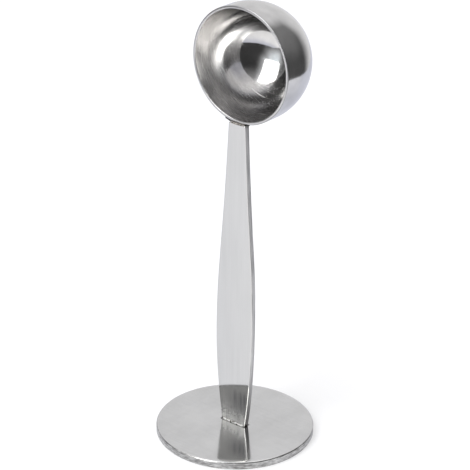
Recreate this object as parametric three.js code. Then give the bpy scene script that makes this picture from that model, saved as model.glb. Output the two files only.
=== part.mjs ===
// A coffee scoop that doubles as a tamper: a deep drawn bowl and a flat round disc, welded to
// the two ends of one flat handle strip. Every piece is stainless steel.
// Millimetres, +Z up. The origin is the centre of the disc's underside, and the bowl's mouth faces -Y.
import * as THREE from "three";

// Tamper disc
const DISC_DIAMETER = 50;
const DISC_THICKNESS = 2.7;
const DISC_EDGE_RADIUS = 0.5;

// Handle strip, blanked from flat plate
const HANDLE_LENGTH = 101.55; // from the disc's top face to the lowest point of the hollow at the bowl
const HANDLE_THICKNESS = 1.8;
const HANDLE_BASE_WIDTH = 9.4;
const HANDLE_BELLY_WIDTH = 14.3;
const HANDLE_BELLY_HEIGHT = 32; // of the widest place, above the disc's top face
const HANDLE_NECK_WIDTH = 6.6;
const HANDLE_NECK_CORNER = 0.7; // cut off each upper corner
const HANDLE_EDGE_BREAK = 0.25; // broken edge all round the outline
const BASE_FLARE = 0.165; // outward run of each long edge per unit of height, at the disc
const NECK_TAPER = 0.049; // inward run of each long edge per unit of height, at the bowl

// How far each outline curve holds its end direction, as a share of that curve's height
const LOWER_CURVE_HOLD = 0.3;
const BELLY_CURVE_HOLD = 0.38;
const NECK_CURVE_HOLD = 0.62;

// Scoop bowl: a straight skirt behind the rim, then a dome
const BOWL_RADIUS = 18.1; // outside
const BOWL_WALL = 0.9;
const BOWL_SKIRT = 5.1;
const BOWL_DOME = 18.3; // outside depth behind the skirt
const RIM_EDGE_RADIUS = 0.2;
const RIM_SETBACK = 0.9; // from the strip's front face back to the rim

// Welds
const ROOT_GAP = 0.15; // between the strip's hollow end and the bowl
const WELD_CLEARANCE = 0.1; // between a bead and a curved or slanting face that it joins
const BASE_WELD_LEG = 0.7;
const BOWL_WELD_LEG = 0.5;
const BOWL_TACK_LENGTH = 2; // along the skirt, past the strip's left edge
const BEAD_END_INSET = 0.3; // a bead stops this far short of the strip's edge
const RIPPLE_PITCH = 1.0;
const RIPPLE_DEPTH = 0.14; // share of the leg by which a bead's ripples swell and shrink
const BEAD_END_SCALE = 0.45; // share of the leg that is left at a bead's ends
const BEAD_CONVEXITY = 1.35; // 1 is a round face, 2 a flat one

// Facets
const ROUND_SEGMENTS = 72;
const DOME_STEPS = 12;
const EDGE_STEPS = 2;
const CURVE_STEPS = 14;
const SECTION_STEPS = 4;
const RIPPLE_STEPS = 4;

// Places that follow from the sizes above
const discRadius = DISC_DIAMETER / 2;
const halfThickness = HANDLE_THICKNESS / 2;
const handleTop = DISC_THICKNESS + HANDLE_LENGTH;
const bowlAxisHeight = handleTop + ROOT_GAP + BOWL_RADIUS;
const rimPlane = -halfThickness + RIM_SETBACK;
const hollowRadius = BOWL_RADIUS + ROOT_GAP;

const polished = new THREE.MeshStandardMaterial({ color: 0xcfd0d1, roughness: 0.1, metalness: 1 });
const satin = new THREE.MeshStandardMaterial({ color: 0xc6c6c4, roughness: 0.22, metalness: 1 });
const weldMetal = new THREE.MeshStandardMaterial({ color: 0x8f8a84, roughness: 0.45, metalness: 1 });

// Points of a rounded corner from angle to angle, in degrees, about a centre in the profile plane
function corner(centreX, centreY, radius, fromDegrees, toDegrees) {
  const points = [];
  for (let i = 0; i <= EDGE_STEPS; i++) {
    const angle = THREE.MathUtils.degToRad(fromDegrees + ((toDegrees - fromDegrees) * i) / EDGE_STEPS);
    points.push(new THREE.Vector2(centreX + radius * Math.cos(angle), centreY + radius * Math.sin(angle)));
  }
  return points;
}

// A quarter ellipse from the axis out to its full radius, as profile points
function domePoints(radius, depth, start) {
  const points = [];
  for (let i = 0; i < DOME_STEPS; i++) {
    const angle = (Math.PI / 2) * (i / DOME_STEPS);
    points.push(new THREE.Vector2(radius * Math.sin(angle), start + depth * Math.cos(angle)));
  }
  return points;
}

// Tamper disc: a turned plate with rounded edges
function tamperDisc() {
  const edge = DISC_EDGE_RADIUS;
  const profile = [
    new THREE.Vector2(0, 0),
    ...corner(discRadius - edge, edge, edge, -90, 0),
    ...corner(discRadius - edge, DISC_THICKNESS - edge, edge, 0, 90),
    new THREE.Vector2(0, DISC_THICKNESS),
  ];
  return new THREE.LatheGeometry(profile, ROUND_SEGMENTS).rotateX(Math.PI / 2);
}

// Scoop bowl: one drawn shell, from its inner pole over the rim to its outer pole, about the Y axis
function scoopBowl() {
  const innerRadius = BOWL_RADIUS - BOWL_WALL;
  const edge = Math.min(RIM_EDGE_RADIUS, BOWL_WALL / 2);
  const inside = domePoints(innerRadius, BOWL_DOME - BOWL_WALL, BOWL_SKIRT);
  const outside = domePoints(BOWL_RADIUS, BOWL_DOME, BOWL_SKIRT).reverse();
  const profile = [
    ...inside,
    new THREE.Vector2(innerRadius, BOWL_SKIRT),
    ...corner(innerRadius + edge, edge, edge, 180, 270),
    ...corner(BOWL_RADIUS - edge, edge, edge, 270, 360),
    new THREE.Vector2(BOWL_RADIUS, BOWL_SKIRT),
    ...outside,
  ];
  return new THREE.LatheGeometry(profile, ROUND_SEGMENTS);
}

// Half angle of the strip's hollow end that is left between its cut corners
function hollowHalfAngle() {
  return Math.asin((HANDLE_NECK_WIDTH / 2 - HANDLE_NECK_CORNER) / hollowRadius);
}

// Outline of the strip seen from the front: x across it, y up from the disc's underside
function handleOutline() {
  const base = HANDLE_BASE_WIDTH / 2;
  const belly = HANDLE_BELLY_WIDTH / 2;
  const neck = HANDLE_NECK_WIDTH / 2;
  const bellyHeight = DISC_THICKNESS + HANDLE_BELLY_HEIGHT;
  const shoulder = bowlAxisHeight - Math.sqrt(hollowRadius ** 2 - neck ** 2);
  const neckHeight = shoulder - HANDLE_NECK_CORNER;
  const lower = HANDLE_BELLY_HEIGHT * LOWER_CURVE_HOLD;
  const upper = (neckHeight - bellyHeight) * BELLY_CURVE_HOLD;
  const last = (neckHeight - bellyHeight) * NECK_CURVE_HOLD;
  const angle = hollowHalfAngle();
  const hollowX = hollowRadius * Math.sin(angle);
  const hollowY = bowlAxisHeight - hollowRadius * Math.cos(angle);
  const baseRun = BASE_FLARE * lower;
  const neckRun = NECK_TAPER * last;

  const shape = new THREE.Shape();
  shape.moveTo(-base, DISC_THICKNESS);
  shape.lineTo(base, DISC_THICKNESS);
  shape.bezierCurveTo(
    base + baseRun, DISC_THICKNESS + lower, belly, bellyHeight - lower, belly, bellyHeight);
  shape.bezierCurveTo(
    belly, bellyHeight + upper, neck + neckRun, neckHeight - last, neck, neckHeight);
  shape.quadraticCurveTo(neck, shoulder, hollowX, hollowY);
  shape.absarc(0, bowlAxisHeight, hollowRadius, -Math.PI / 2 + angle, -Math.PI / 2 - angle, true);
  shape.quadraticCurveTo(-neck, shoulder, -neck, neckHeight);
  shape.bezierCurveTo(
    -neck - neckRun, neckHeight - last, -belly, bellyHeight + upper, -belly, bellyHeight);
  shape.bezierCurveTo(
    -belly, bellyHeight - lower, -base - baseRun, DISC_THICKNESS + lower, -base, DISC_THICKNESS);
  return shape;
}

// Handle strip: the outline, as thick as the plate, with its edges broken
function handleStrip() {
  const edge = Math.min(HANDLE_EDGE_BREAK, halfThickness / 2);
  const strip = new THREE.ExtrudeGeometry(handleOutline(), {
    depth: HANDLE_THICKNESS - 2 * edge,
    bevelEnabled: true,
    bevelThickness: edge,
    bevelSize: edge,
    bevelOffset: -edge,
    bevelSegments: 2,
    curveSegments: CURVE_STEPS,
  });
  return strip.translate(0, 0, edge - halfThickness).rotateX(Math.PI / 2);
}

// One weld bead along a corner. spot(u), for u from -0.5 to 0.5, gives the corner's place and the
// directions of the bead's two legs, and the bead swells in ripples and shrinks at its ends.
function weldBead(spot, length, leg) {
  const ripples = Math.max(1, Math.round(length / RIPPLE_PITCH));
  const rings = ripples * RIPPLE_STEPS;
  const ringSize = SECTION_STEPS + 2;
  const vertices = [];
  for (let i = 0; i <= rings; i++) {
    const u = i / rings;
    const { place, legA, legB } = spot(u - 0.5);
    const swell = 1 - RIPPLE_DEPTH * Math.cos(2 * Math.PI * ripples * u);
    const fade = BEAD_END_SCALE + (1 - BEAD_END_SCALE) * Math.sqrt(Math.sin(Math.PI * u));
    const size = leg * swell * fade;
    vertices.push(place);
    for (let k = 0; k <= SECTION_STEPS; k++) {
      const angle = (Math.PI / 2) * (k / SECTION_STEPS);
      const along = size * Math.cos(angle) ** BEAD_CONVEXITY;
      const up = size * Math.abs(Math.sin(angle)) ** BEAD_CONVEXITY;
      vertices.push(place.clone().addScaledVector(legA, along).addScaledVector(legB, up));
    }
  }
  return closedLoft(vertices, rings, ringSize, facesTurn(spot));
}

// True where a bead's legs and its direction make a left-handed set, so that its faces must be turned
function facesTurn(spot) {
  const { legA, legB } = spot(0);
  const direction = spot(0.5).place.clone().sub(spot(-0.5).place);
  return legA.clone().cross(legB).dot(direction) < 0;
}

// A closed solid from rings of vertices, with a flat cap at each end
function closedLoft(vertices, rings, ringSize, turned) {
  const faces = [];
  for (let i = 0; i < rings; i++) {
    for (let k = 0; k < ringSize; k++) {
      const a = i * ringSize + k;
      const b = i * ringSize + ((k + 1) % ringSize);
      faces.push([a, b, b + ringSize], [a, b + ringSize, a + ringSize]);
    }
  }
  const last = rings * ringSize;
  for (let k = 1; k < ringSize - 1; k++) {
    faces.push([0, k + 1, k], [last, last + k, last + k + 1]);
  }
  const index = faces.flatMap(([a, b, c]) => (turned ? [a, c, b] : [a, b, c]));
  return new THREE.BufferGeometry().setFromPoints(vertices).setIndex(index);
}

// Bead along the strip's foot, on the front (side -1) or the back (side 1)
function baseWeld(side) {
  const length = HANDLE_BASE_WIDTH - 2 * BEAD_END_INSET;
  const spot = (u) => ({
    place: new THREE.Vector3(u * length, side * halfThickness, DISC_THICKNESS),
    legA: new THREE.Vector3(0, side, 0),
    legB: new THREE.Vector3(0, 0, 1),
  });
  return weldBead(spot, length, BASE_WELD_LEG);
}

// Tack across the strip's narrow edge at the foot, on the left (side -1) or the right (side 1)
function baseTack(side) {
  const length = HANDLE_THICKNESS - 2 * BEAD_END_INSET;
  const alongEdge = new THREE.Vector3(side * BASE_FLARE, 0, 1).normalize();
  const spot = (u) => ({
    place: new THREE.Vector3(side * (HANDLE_BASE_WIDTH / 2 + WELD_CLEARANCE), u * length, DISC_THICKNESS),
    legA: new THREE.Vector3(side, 0, 0),
    legB: alongEdge,
  });
  return weldBead(spot, length, BASE_WELD_LEG);
}

// Bead along the bowl's edge from angle to angle, measured from straight below its axis towards +X.
// One leg runs along Y to the given side, the other rises towards the axis (inward 1) or away from it (-1).
function bowlWeld(radius, planeY, side, inward, fromAngle, toAngle) {
  const spot = (u) => {
    const angle = fromAngle + (toAngle - fromAngle) * (u + 0.5);
    const outwards = new THREE.Vector3(Math.sin(angle), 0, -Math.cos(angle));
    return {
      place: outwards.clone().multiplyScalar(radius).add(new THREE.Vector3(0, planeY, bowlAxisHeight)),
      legA: new THREE.Vector3(0, side, 0),
      legB: outwards.clone().multiplyScalar(-inward),
    };
  };
  return weldBead(spot, Math.abs(toAngle - fromAngle) * radius, BOWL_WELD_LEG);
}

// In front, the bead lies on the strip's ledge against the rim. Behind, it lies under the skirt
// against the strip's back face. The tack runs on along the skirt, past the strip's left edge.
function bowlWeldFront() {
  const halfAngle = hollowHalfAngle() - BEAD_END_INSET / hollowRadius;
  return bowlWeld(hollowRadius - WELD_CLEARANCE, rimPlane - WELD_CLEARANCE, -1, 1, -halfAngle, halfAngle);
}
function bowlWeldBack() {
  const halfAngle = hollowHalfAngle() - BEAD_END_INSET / hollowRadius;
  return bowlWeld(BOWL_RADIUS + WELD_CLEARANCE, halfThickness, 1, -1, -halfAngle, halfAngle);
}
function bowlTack() {
  const radius = BOWL_RADIUS + WELD_CLEARANCE;
  const start = Math.asin((HANDLE_NECK_WIDTH / 2 + WELD_CLEARANCE) / radius);
  const end = start + BOWL_TACK_LENGTH / radius;
  return bowlWeld(radius, rimPlane + WELD_CLEARANCE, 1, -1, -start, -end);
}

const scoop = new THREE.Group();
function addPiece(name, geometry, material) {
  const piece = new THREE.Mesh(geometry, material);
  piece.name = name;
  scoop.add(piece);
  return piece;
}

addPiece("tamper_disc", tamperDisc(), satin);
addPiece("handle_strip", handleStrip(), satin);
addPiece("scoop_bowl", scoopBowl(), polished).position.set(0, rimPlane, bowlAxisHeight);
addPiece("bowl_weld_front", bowlWeldFront(), weldMetal);
addPiece("bowl_weld_back", bowlWeldBack(), weldMetal);
addPiece("bowl_tack_left", bowlTack(), weldMetal);
addPiece("base_weld_front", baseWeld(-1), weldMetal);
addPiece("base_weld_back", baseWeld(1), weldMetal);
addPiece("base_tack_left", baseTack(-1), weldMetal);
addPiece("base_tack_right", baseTack(1), weldMetal);

export default scoop;
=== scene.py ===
"""Dresses the coffee scoop with tamper: polished bowl, brushed handle strip, disc and their welds.

Sizes are in metres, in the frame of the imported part: the origin is the centre of the disc's
underside, +Z is up, and the bowl's mouth faces -Y.
"""

import logging
import math
from dataclasses import dataclass
from enum import Enum
from typing import Mapping, Sequence

import bmesh
import bpy
from mathutils import Matrix, Vector


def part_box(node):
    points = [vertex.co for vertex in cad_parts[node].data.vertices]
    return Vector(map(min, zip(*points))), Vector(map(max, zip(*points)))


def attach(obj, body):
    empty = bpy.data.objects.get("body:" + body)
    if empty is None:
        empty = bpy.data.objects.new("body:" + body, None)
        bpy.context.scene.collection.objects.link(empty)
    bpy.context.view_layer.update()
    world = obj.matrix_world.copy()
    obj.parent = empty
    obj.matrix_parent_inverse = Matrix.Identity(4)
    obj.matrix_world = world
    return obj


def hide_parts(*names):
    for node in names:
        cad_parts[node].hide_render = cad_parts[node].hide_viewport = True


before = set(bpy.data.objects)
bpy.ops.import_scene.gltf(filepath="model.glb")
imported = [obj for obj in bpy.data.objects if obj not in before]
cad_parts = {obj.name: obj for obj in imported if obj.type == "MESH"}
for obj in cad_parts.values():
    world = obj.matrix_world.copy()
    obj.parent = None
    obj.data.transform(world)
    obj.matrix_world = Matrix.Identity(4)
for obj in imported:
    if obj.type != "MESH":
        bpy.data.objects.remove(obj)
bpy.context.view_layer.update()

MM = 0.001
MERGE = 0.002 * MM
BODY = "root"
EDGE_MARK = "cut_edge"
LOG = logging.getLogger("coffee_scoop")

Colour = tuple[float, float, float]
Size = tuple[float, float, float]
Place = tuple[float, float, float]
Span = tuple[float, float]
Profile = list[tuple[float, float]]

BLACK: Colour = (0.0, 0.0, 0.0)
WHITE: Colour = (1.0, 1.0, 1.0)


class Term:
    """One output of a node, which Python operators combine by adding Math nodes."""

    def __init__(self, board: "Board", socket: bpy.types.NodeSocket) -> None:
        """Wraps an output socket of the board's tree."""
        self.board = board
        self.socket = socket

    def math(self, operation: str, *operands: object) -> "Term":
        """Adds one Math node.

        Args:
            operation: the node's operation.
            operands: what goes into its sockets, in order: terms or numbers.

        Returns:
            The node's result.
        """
        sockets = dict(enumerate(operands))
        return self.board.term("ShaderNodeMath", {"operation": operation}, sockets)

    def __add__(self, other: object) -> "Term":
        """self + other."""
        return self.math("ADD", self, other)

    def __radd__(self, other: object) -> "Term":
        """other + self."""
        return self.math("ADD", other, self)

    def __sub__(self, other: object) -> "Term":
        """self - other."""
        return self.math("SUBTRACT", self, other)

    def __rsub__(self, other: object) -> "Term":
        """other - self."""
        return self.math("SUBTRACT", other, self)

    def __mul__(self, other: object) -> "Term":
        """self * other."""
        return self.math("MULTIPLY", self, other)

    def __rmul__(self, other: object) -> "Term":
        """other * self."""
        return self.math("MULTIPLY", other, self)

    def __truediv__(self, other: object) -> "Term":
        """self / other."""
        return self.math("DIVIDE", self, other)

    def __rtruediv__(self, other: object) -> "Term":
        """other / self."""
        return self.math("DIVIDE", other, self)

    def __pow__(self, other: object) -> "Term":
        """self ** other."""
        return self.math("POWER", self, other)

    def rounded(self) -> "Term":
        """The nearest whole number."""
        return self.math("ROUND", self)

    def absolute(self) -> "Term":
        """The value without its sign."""
        return self.math("ABSOLUTE", self)

    def cosine(self) -> "Term":
        """The cosine of an angle in radians."""
        return self.math("COSINE", self)

    def angle(self, other: object) -> "Term":
        """The angle, over the whole turn, whose tangent is self over other, in radians."""
        return self.math("ARCTAN2", self, other)

    def least(self, other: object) -> "Term":
        """The smaller of the two."""
        return self.math("MINIMUM", self, other)

    def most(self, other: object) -> "Term":
        """The larger of the two."""
        return self.math("MAXIMUM", self, other)

    def clamped(self) -> "Term":
        """The value, held between 0 and 1."""
        return self.least(1.0).most(0.0)

    def step(self, low: float, high: float) -> "Term":
        """A smooth step.

        Args:
            low: where the step is 0.
            high: where the step is 1; it may lie below low.

        Returns:
            A value from 0 to 1.
        """
        ends = (0.0, 1.0) if low < high else (1.0, 0.0)
        return self.board.term(
            "ShaderNodeMapRange",
            {"interpolation_type": "SMOOTHSTEP"},
            {"Value": self, "From Min": min(low, high), "From Max": max(low, high),
             "To Min": ends[0], "To Max": ends[1]},
        )


class Board:
    """A node tree, and the one way in which this script adds nodes to it."""

    def __init__(self, tree: bpy.types.NodeTree) -> None:
        """Takes the tree to write in."""
        self.tree = tree

    def add(
        self,
        kind: str,
        settings: Mapping[str, object] | None = None,
        sockets: Mapping[object, object] | None = None,
    ) -> bpy.types.Node:
        """Adds one node.

        Args:
            kind: the node's type.
            settings: its own properties, which are set first.
            sockets: input name or number to a term, a socket or a plain value.

        Returns:
            The new node.
        """
        node = self.tree.nodes.new(kind)
        for name, setting in (settings or {}).items():
            setattr(node, name, setting)
        for name, value in (sockets or {}).items():
            source = value.socket if isinstance(value, Term) else value
            if isinstance(source, bpy.types.NodeSocket):
                self.tree.links.new(source, node.inputs[name])
            else:
                node.inputs[name].default_value = source
        return node

    def term(
        self,
        kind: str,
        settings: Mapping[str, object] | None = None,
        sockets: Mapping[object, object] | None = None,
        output: object = 0,
    ) -> Term:
        """Adds one node, as add does, and returns one of its outputs as a term."""
        return Term(self, self.add(kind, settings, sockets).outputs[output])

    def mix(self, factor: object, first: object, second: object) -> Term:
        """Mixes two colours.

        Args:
            factor: how much of the second colour there is, from 0 to 1.
            first: a colour, as a term or as plain numbers.
            second: the other colour, given in the same way.

        Returns:
            The mixed colour.
        """
        colours = {
            number: (*colour, 1.0) if isinstance(colour, tuple) else colour
            for number, colour in ((6, first), (7, second))
        }
        return self.term("ShaderNodeMix", {"data_type": "RGBA"}, {0: factor, **colours}, 2)

    def parts(self, vector: object) -> tuple[Term, Term, Term]:
        """Splits a vector into its three numbers."""
        node = self.add("ShaderNodeSeparateXYZ", {}, {"Vector": vector})
        return tuple(Term(self, output) for output in node.outputs)

    def place(self) -> Term:
        """The Object coordinates of the surface."""
        return self.term("ShaderNodeTexCoord", output="Object")


@dataclass(frozen=True)
class Pattern:
    """A noise pattern on a surface.

    Its size is the length of one swell, or the lengths along X, Y and Z. Its detail is how many finer
    layers it has, and its shift moves it, so that two patterns differ.
    """

    size: float | Size
    detail: float
    shift: float = 0.0

    def over(self, vector: Term) -> Term:
        """Lays the pattern over a surface.

        Args:
            vector: the coordinates to read, in the units of the size.

        Returns:
            A value from 0 to 1 that is about 0.5 on average.
        """
        board = vector.board
        lengths = self.size if isinstance(self.size, tuple) else (self.size,) * 3
        mapped = board.term(
            "ShaderNodeMapping", {},
            {"Vector": vector, "Location": (self.shift,) * 3, "Scale": tuple(1.0 / s for s in lengths)},
        )
        return board.term("ShaderNodeTexNoise", {}, {"Vector": mapped, "Scale": 1.0, "Detail": self.detail})


@dataclass(frozen=True)
class Look:
    """What a finish varies over the surface."""

    colour: Term
    roughness: Term
    relief: Term
    relief_height: float


@dataclass(frozen=True)
class Steel:
    """Bare stainless steel, as all the finishes share it."""

    name: str
    tint: Colour
    roughness: float

    def look(self, board: Board) -> Look:
        """The finish's own pattern; each kind of finish has one."""
        raise NotImplementedError

    def toned(self, share: float) -> Colour:
        """The tint, made darker or lighter by a share."""
        return tuple(share * channel for channel in self.tint)

    def make(self) -> bpy.types.Material:
        """Builds the material.

        Returns:
            A metal material with the finish's pattern in its colour, roughness and normal.
        """
        material = bpy.data.materials.new(self.name)
        material.use_nodes = True
        board = Board(material.node_tree)
        look = self.look(board)
        bump = board.term("ShaderNodeBump", {}, {"Distance": look.relief_height, "Height": look.relief})
        surface = board.tree.nodes["Principled BSDF"].inputs
        surface["Metallic"].default_value = 1.0
        board.tree.links.new(look.colour.socket, surface["Base Color"])
        board.tree.links.new(look.roughness.socket, surface["Roughness"])
        board.tree.links.new(bump.socket, surface["Normal"])
        return material


@dataclass(frozen=True)
class SpunSteel(Steel):
    """Spun and polished bowl: rings and a grainy haze inside, a smoother skin outside, a rough rim edge
    with a painted dark outline, and painted light and shade by height inside.

    Heights count from the bowl's axis and depths from its rim, but the brim's from the skirt's end.
    Rings, bands and arcs have their lengths out from the axis and along it, and in radians round it.
    """

    axis_height: float
    rim_plane: float
    radius: float
    skirt: float
    dome: float
    inside_share: Span = (0.985, 0.965)
    inside_roughness: float = 0.065
    wall_share: Span = (0.75, 0.93)
    brim_depth: Span = (8.4 * MM, 2.4 * MM)
    brim_roughness: float = 0.2
    rubbed_height: Span = (-8.5 * MM, -13.5 * MM)
    rubbed_roughness: float = 0.13
    low_height: Span = (6 * MM, -6 * MM)
    # Painted light and shade by height: on the brim, then as a band across the wall.
    painted_light_height: Span = (-6 * MM, 8 * MM)
    painted_band_bottom: Span = (-8 * MM, -3 * MM)
    painted_band_top: Span = (4 * MM, -1 * MM)
    edge_depth: Span = (0.32 * MM, 0.192 * MM)
    edge_inset: Span = (0.4 * MM, 0.2 * MM)
    edge_roughness: float = 0.4
    # Colour of the rim edge's painted dark outline.
    painted_outline_colour: Colour = (0.4, 0.4, 0.41)
    rings: Pattern = Pattern((0.45 * MM, 0.45 * MM, 0.9), 4.0)
    bands: Pattern = Pattern((1.4 * MM, 1.4 * MM, 1.6), 2.0, 7.0)
    arcs: Pattern = Pattern((0.16 * MM, 0.16 * MM, 0.35), 1.0, 6.0)
    arc_cut: Span = (0.64, 0.74)
    grain: Pattern = Pattern(0.5 * MM, 3.0, 9.0)
    pits: Pattern = Pattern(0.33 * MM, 1.0, 2.0)
    pit_cut: Span = (0.58, 0.74)
    clouds: Pattern = Pattern(6 * MM, 4.0, 4.0)
    dark_share: float = 0.75
    light_share: float = 1.12
    mark_radius: float = 14.5 * MM
    mark_angle: float = -2.82
    mark_width: Span = (0.11 * MM, 0.04 * MM)
    mark_spread: Span = (0.24, 0.144)
    scratch_colour: Colour = (0.9, 0.9, 0.9)
    relief: float = 0.02 * MM

    def look(self, board: Board) -> Look:
        """Rings, grain, pits and clouds, a rubbed lower wall, fine arcs, one tool mark, the rim's edge with
        its painted outline, and painted light and shade by height.

        Args:
            board: the material's board.

        Returns:
            The bowl's pattern.
        """
        place = board.place()
        x, y, z = board.parts(place)
        up = z - self.axis_height
        deep = y - self.rim_plane
        out = (x * x + up * up) ** 0.5
        fall = (deep - self.skirt).most(0.0) / self.dome
        shell = ((out / self.radius) ** 2.0 + fall * fall) ** 0.5
        inside = shell.step(*self.inside_share)
        wall = out.step(*(share * self.radius for share in self.wall_share))
        brim = deep.step(*(self.skirt + depth for depth in self.brim_depth))
        rubbed = up.step(*self.rubbed_height)
        low = up.step(*self.low_height)
        angle = x.angle(up)
        ring = board.term("ShaderNodeCombineXYZ", {}, {0: out, 1: deep, 2: angle})
        rings = self.rings.over(ring)
        bands = self.bands.over(ring)
        arcs = self.arcs.over(ring).step(*self.arc_cut)
        grain = self.grain.over(place)
        pits = self.pits.over(place).step(*self.pit_cut)
        cloud = self.clouds.over(place)
        turn = (angle - self.mark_angle).absolute()
        apart = (out - self.mark_radius).absolute()
        mark = apart.step(*self.mark_width) * turn.step(*self.mark_spread)
        scratch = inside * (0.35 * low * arcs).most(mark)
        lined = (0.05 + 0.15 * low + 0.6 * rubbed) * (rings - 0.5) + 1.1 * wall * (bands - 0.5)
        # Painted light and shade: the brim is lighter towards its top and darker low down.
        painted_brim_light = 0.7 * brim * (up.step(*self.painted_light_height) - 0.4)
        # Painted light and shade: a lighter band across the wall and over the rubbed lower wall, darker
        # between and above them; the grain's share is the metal's own random variation.
        painted_light_band = (up.step(*self.painted_band_bottom) * up.step(*self.painted_band_top)).most(rubbed)
        painted_band_and_grain = (1.0 - brim) * (0.55 * (painted_light_band - 0.5) + 0.25 * (grain - 0.5))
        swing = 1.5 * (cloud - 0.5) + inside * (lined + painted_brim_light + painted_band_and_grain)
        # The inside is a touch darker than the outside: painted shade in the hollow.
        shade = (0.6 - 0.05 * inside + swing).clamped()
        polish = board.mix(shade, self.toned(self.dark_share), self.toned(self.light_share))
        smooth = self.roughness * (0.75 + 0.5 * cloud)
        dull = (self.brim_roughness * brim).most(self.rubbed_roughness * rubbed)
        hazy = self.inside_roughness * (0.8 + 0.4 * cloud) + dull
        worn = hazy + 0.15 * (1.0 - brim) * pits + 0.3 * scratch
        skin = smooth + inside * (worn - smooth)
        # A rough band on the rim's outer edge; its darker colour is a painted outline.
        matt_and_painted_outline = deep.step(*self.edge_depth) * out.step(*(self.radius - inset for inset in self.edge_inset))
        metal = board.mix(0.9 * matt_and_painted_outline, polish, self.painted_outline_colour)
        return Look(
            board.mix(0.7 * scratch, metal, self.scratch_colour),
            skin + matt_and_painted_outline * (self.edge_roughness - skin),
            (0.05 + 0.95 * inside) * (0.05 * grain + 0.15 * wall * rubbed * rings),
            self.relief,
        )


@dataclass(frozen=True)
class BrushedSteel(Steel):
    """Flat strip brushed along its length, rubbed near its weld, with painted shade and painted light
    there, and rough cut edges.

    The mesh marks the cut edges. Heights count from the strip's foot.
    """

    foot_height: float
    grain: Pattern = Pattern((0.35 * MM, 5 * MM, 40 * MM), 3.0)
    streaks: Pattern = Pattern((1.3 * MM, 5 * MM, 22 * MM), 3.0, 11.0)
    clouds: Pattern = Pattern((6 * MM, 6 * MM, 18 * MM), 3.0, 2.0)
    mottle: Pattern = Pattern((0.8 * MM, 0.8 * MM, 1.2 * MM), 4.0, 5.0)
    dark_share: float = 0.86
    edge_start: Span = (0.3, 0.85)
    edge_roughness: float = 0.5
    shear: Pattern = Pattern((5 * MM, 0.3 * MM, 9 * MM), 3.0, 7.0)
    shear_cut: Span = (0.3, 0.7)
    sheared_dark: Colour = (0.36, 0.36, 0.36)
    sheared_light: Colour = (0.72, 0.72, 0.71)
    foot_reach: float = 15 * MM
    foot_roughness: float = 0.22
    # Painted shade: the colour that the foot darkens to, and a streaky darker patch above it towards the
    # right.
    foot_shade_colour: Colour = (0.405, 0.405, 0.412)
    painted_shade_height: Span = (14 * MM, 9 * MM)
    painted_shade_side: Span = (-4.5 * MM, 3 * MM)
    painted_shade_waver: float = 1.5 * MM
    painted_shade_colour: Colour = (0.3, 0.3, 0.308)
    relief: float = 0.002 * MM

    def look(self, board: Board) -> Look:
        """Long grain, painted shade and painted light over the rubbed foot, and stripes where the edge was
        cut.

        Args:
            board: the material's board.

        Returns:
            The strip's pattern.
        """
        place = board.place()
        x, _, z = board.parts(place)
        above = z - self.foot_height
        grain = self.grain.over(place)
        streak = self.streaks.over(place)
        cloud = self.clouds.over(place)
        mottle = self.mottle.over(place)
        shear = self.shear.over(place)
        edge = board.term("ShaderNodeAttribute", {"attribute_name": EDGE_MARK}, output="Fac")
        cut = edge.step(*self.edge_start)
        foot = above.step(self.foot_reach, 0.0)
        low = foot * foot
        lines = streak + grain - 1.0
        # Towards the foot the streaks grow stronger, and a mottle lightens the very bottom: painted light.
        shade = 0.5 + 0.6 * cloud + (0.5 + 2.0 * foot) * lines + 1.3 * low * (mottle - 0.4)
        # Towards the foot the colour's dark end falls to a deep grey: painted shade.
        dark_with_foot_shade = board.mix(foot, self.toned(self.dark_share), self.foot_shade_colour)
        clean = board.mix(shade.clamped(), dark_with_foot_shade, self.tint)
        # Painted shade: a streaky darker patch above the foot, darker towards the right and weaker at the
        # very bottom.
        wavering = x + self.painted_shade_waver * (streak - 0.5)
        painted_shade = above.step(*self.painted_shade_height) * wavering.step(*self.painted_shade_side)
        painted_shade_amount = painted_shade * (0.7 + 1.8 * lines) * (1.0 - 0.7 * low)
        face = board.mix(painted_shade_amount.clamped(), clean, self.painted_shade_colour)
        sheared = board.mix(shear.step(*self.shear_cut), self.sheared_dark, self.sheared_light)
        rough = self.roughness * (0.6 + 0.4 * cloud + 0.4 * streak)
        rubbed = rough + self.foot_roughness * low * (0.4 + 0.9 * mottle + 0.7 * streak)
        return Look(
            board.mix(cut, face, sheared),
            rubbed + cut * (self.edge_roughness - rubbed),
            grain + 2.0 * low * mottle + cut * shear,
            self.relief,
        )


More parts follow.
